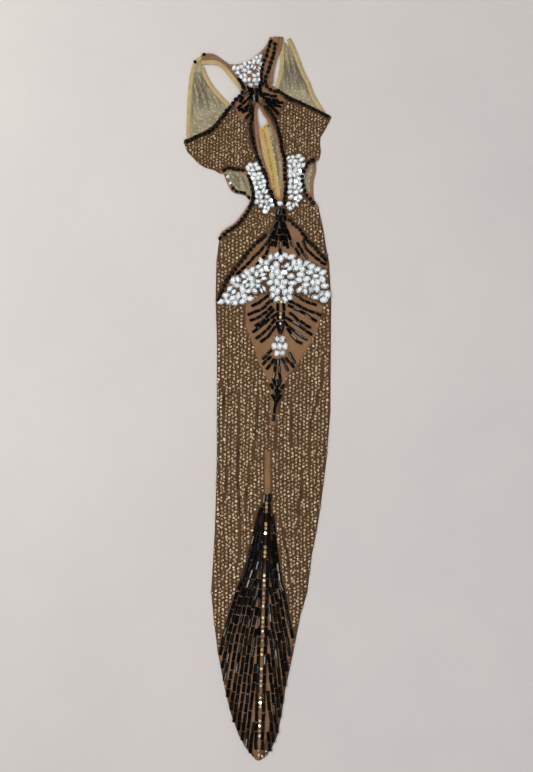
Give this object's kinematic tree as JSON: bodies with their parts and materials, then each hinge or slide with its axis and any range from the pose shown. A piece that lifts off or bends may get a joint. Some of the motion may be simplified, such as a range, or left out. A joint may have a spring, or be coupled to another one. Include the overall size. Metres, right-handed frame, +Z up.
{
  "type": "crystal-beaded stage gown",
  "caption": "Long slim stage gown laid flat, with a keyhole front, side cutouts, a pointed hem, large hip crystals and fans of bugle beads.",
  "frame": {"origin": "centre of the gown in plan, on the surface that it lies on", "axes": "+Y from the point of the hem to the straps, +X to the right as seen from above, +Z up"},
  "size_m": [0.338, 1.663, 0.0104],
  "materials": {
    "beaded_mesh": "stretch mesh set closely with gold-brown crystals",
    "mesh_inside": "plain inside of the stretch mesh",
    "yellow_elastic": "soft ribbed elastic",
    "tan_elastic": "soft elastic binding",
    "zip_tape": "woven tape with a moulded coil",
    "zip_metal": "satin"
  },
  "bodies": {
    "gown": {"front": "beaded_mesh", "keyhole_binding": "tan_elastic", "neckline_binding": "tan_elastic", "strap_binding_left": "yellow_elastic", "strap_binding_right": "tan_elastic", "waist_binding_left": "tan_elastic", "waist_binding_right": "tan_elastic", "back_left": "mesh_inside", "back_arm_binding_left": "yellow_elastic", "back_neck_binding_left": "yellow_elastic", "back_waist_binding_left": "tan_elastic", "zip_tape_left": "zip_tape", "back_right": "mesh_inside", "back_arm_binding_right": "yellow_elastic", "back_neck_binding_right": "yellow_elastic", "back_waist_binding_right": "tan_elastic", "zip_tape_right": "zip_tape", "zip_slider": "zip_metal"},
    "pull_tab": {"zip_pull_tab": "zip_metal"}
  },
  "joints": [
    {"name": "pull_tab_swing", "type": "hinge", "parent": "gown", "child": "pull_tab", "pos_m": [0.01322, 0.6156, 0.00115], "axis": [0.974, 0.2265, 0], "range_deg": [0, 150]}
  ]
}
